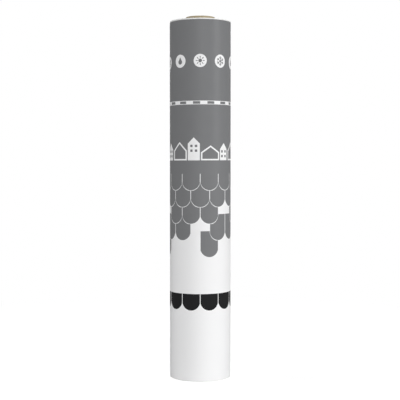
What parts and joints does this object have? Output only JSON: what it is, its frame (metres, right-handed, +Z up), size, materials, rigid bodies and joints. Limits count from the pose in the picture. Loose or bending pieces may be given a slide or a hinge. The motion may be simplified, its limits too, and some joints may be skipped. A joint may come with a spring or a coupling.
{
  "type": "roll of roofing felt",
  "caption": "Upright roll of bitumen roofing felt wound on a cardboard core that stands out of its top, held in a two-tone printed paper wrapper.",
  "frame": {"origin": "middle of the roll's lower end, on the floor that it stands on", "axes": "+Z up along the axis of the roll, +Y to the back, where the wrapper is lapped and glued, and -Y to the printed front"},
  "size_m": [0.1714, 0.1715, 1.0125],
  "materials": {
    "felt": "matte",
    "core_board": "matte",
    "wrapper_paper": "satin"
  },
  "bodies": {
    "root": {"felt_roll": "felt", "core_tube": "core_board", "wrapper": "wrapper_paper"}
  },
  "joints": []
}
